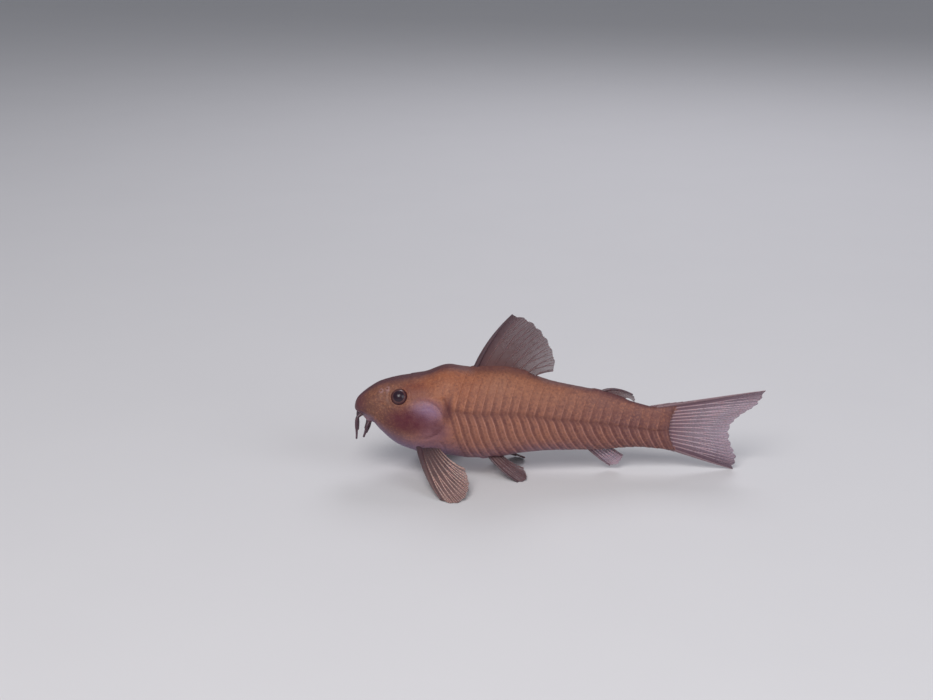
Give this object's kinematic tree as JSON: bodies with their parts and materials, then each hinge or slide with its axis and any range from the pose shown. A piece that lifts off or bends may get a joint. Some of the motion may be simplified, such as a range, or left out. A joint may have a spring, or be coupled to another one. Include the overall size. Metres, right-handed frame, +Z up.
{
  "type": "orange corydoras catfish model",
  "caption": "Life-size still model of a small armoured bottom catfish with barbels and spread fins, standing on its paired fins and tail.",
  "frame": {"origin": "on the floor, under the middle of the fish's length and width", "axes": "+X from the head to the tail, +Y to the fish's right side, +Z up"},
  "size_m": [0.052, 0.0236, 0.0206],
  "materials": {
    "flank_skin": "orange-brown skin over bony scutes, slightly wet",
    "head_skin": "orange-brown skin, darker along the top",
    "gill_cover": "thin pinkish-mauve skin with a dark red patch",
    "fin": "clear brown-grey web with paler rays",
    "barbel": "soft dark brown skin",
    "eye": "wet, near black with a dark orange ring"
  },
  "bodies": {
    "root": {"head": "head_skin", "trunk": "flank_skin", "tail_stalk": "flank_skin", "left_eye": "eye", "right_eye": "eye", "left_gill_cover": "gill_cover", "right_gill_cover": "gill_cover", "left_upper_barbel": "barbel", "left_lower_barbel": "barbel", "left_chin_barbel": "barbel", "right_upper_barbel": "barbel", "right_lower_barbel": "barbel", "right_chin_barbel": "barbel", "dorsal_fin": "fin", "adipose_fin": "fin", "anal_fin": "fin", "caudal_fin": "fin", "left_pectoral_fin": "fin", "right_pectoral_fin": "fin", "left_pelvic_fin": "fin", "right_pelvic_fin": "fin"}
  },
  "joints": []
}
